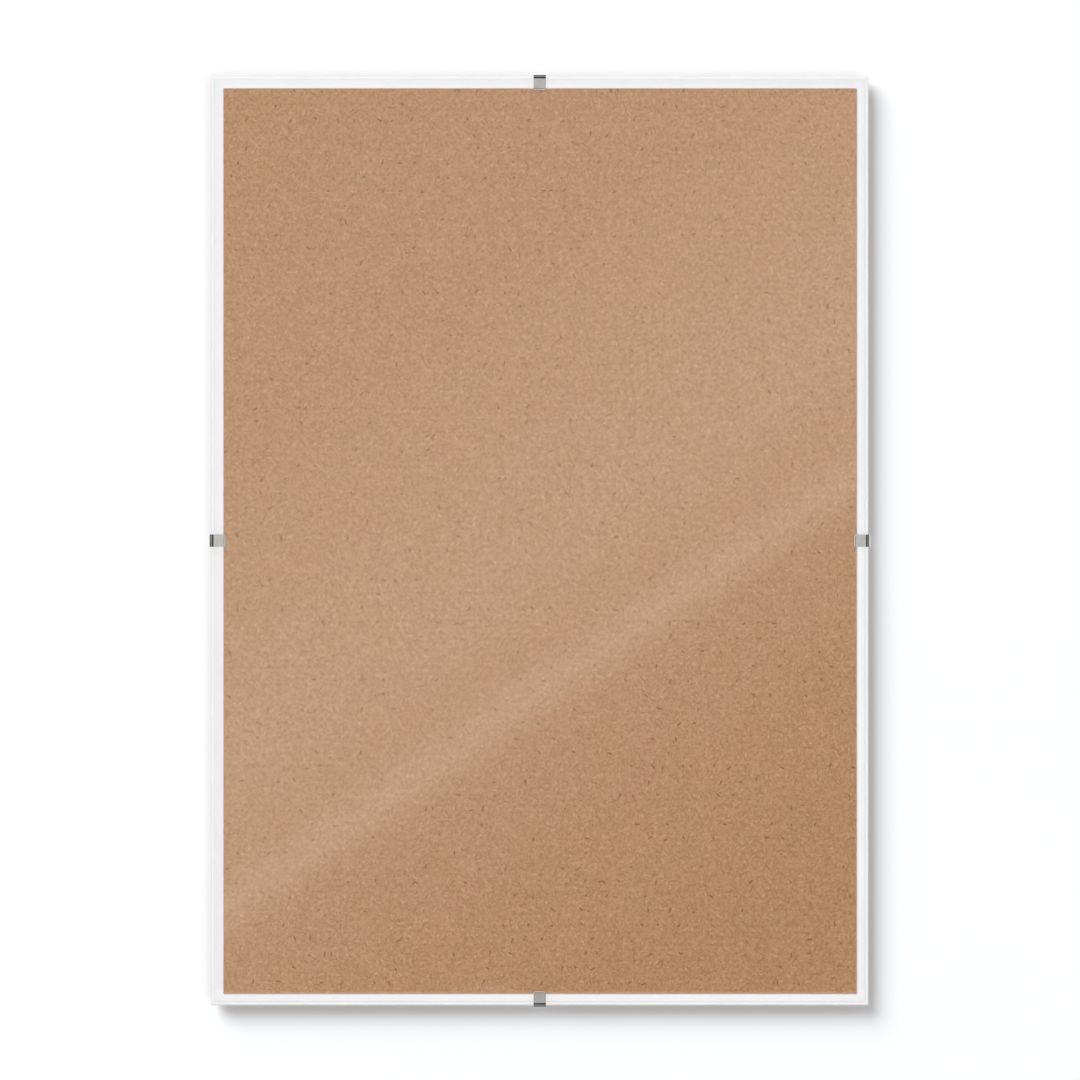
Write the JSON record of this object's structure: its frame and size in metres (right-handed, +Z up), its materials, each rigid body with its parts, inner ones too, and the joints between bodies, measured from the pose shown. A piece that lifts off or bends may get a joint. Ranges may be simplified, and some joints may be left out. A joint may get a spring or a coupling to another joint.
{
  "type": "clip frame",
  "caption": "Frameless picture holder: a bevelled glass pane over an insert card and a grooved backing board, held at its edges by push-on spring clips, with keyhole hangers.",
  "frame": {"origin": "the point where the shank of a wall screw carries the upright frame: the end of the portrait hanger's keyhole slot, on the wall side of its raised middle", "axes": "+Z up as the frame hangs upright, +Y towards the wall, so the glass faces -Y, +X to the right as seen from the front"},
  "size_m": [0.2986, 0.0108, 0.4216],
  "materials": {
    "clear_glass": "polished",
    "kraft_card": "matte",
    "white_paper": "matte",
    "fibreboard": "matte",
    "spring_steel": "satin",
    "zinc_plate": "satin",
    "rivet_steel": "satin"
  },
  "bodies": {
    "panel": {"glass_pane": "clear_glass", "insert_card": "kraft_card", "white_liner": "white_paper", "backing_board": "fibreboard", "hanger_portrait": "zinc_plate", "hanger_landscape": "zinc_plate", "rivets_portrait": "rivet_steel", "rivets_landscape": "rivet_steel"},
    "top_clip": {"clip_top": "spring_steel"},
    "bottom_clip": {"clip_bottom": "spring_steel"},
    "left_clip": {"clip_left": "spring_steel"},
    "right_clip": {"clip_right": "spring_steel"}
  },
  "joints": [
    {"name": "top_clip_pull", "type": "slide", "parent": "panel", "child": "top_clip", "axis": [0, 0, 1], "range_m": [0, 0.026]},
    {"name": "bottom_clip_pull", "type": "slide", "parent": "panel", "child": "bottom_clip", "axis": [0, 0, -1], "range_m": [0, 0.026]},
    {"name": "left_clip_pull", "type": "slide", "parent": "panel", "child": "left_clip", "axis": [-1, 0, 0], "range_m": [0, 0.026]},
    {"name": "right_clip_pull", "type": "slide", "parent": "panel", "child": "right_clip", "axis": [1, 0, 0], "range_m": [0, 0.026]}
  ]
}
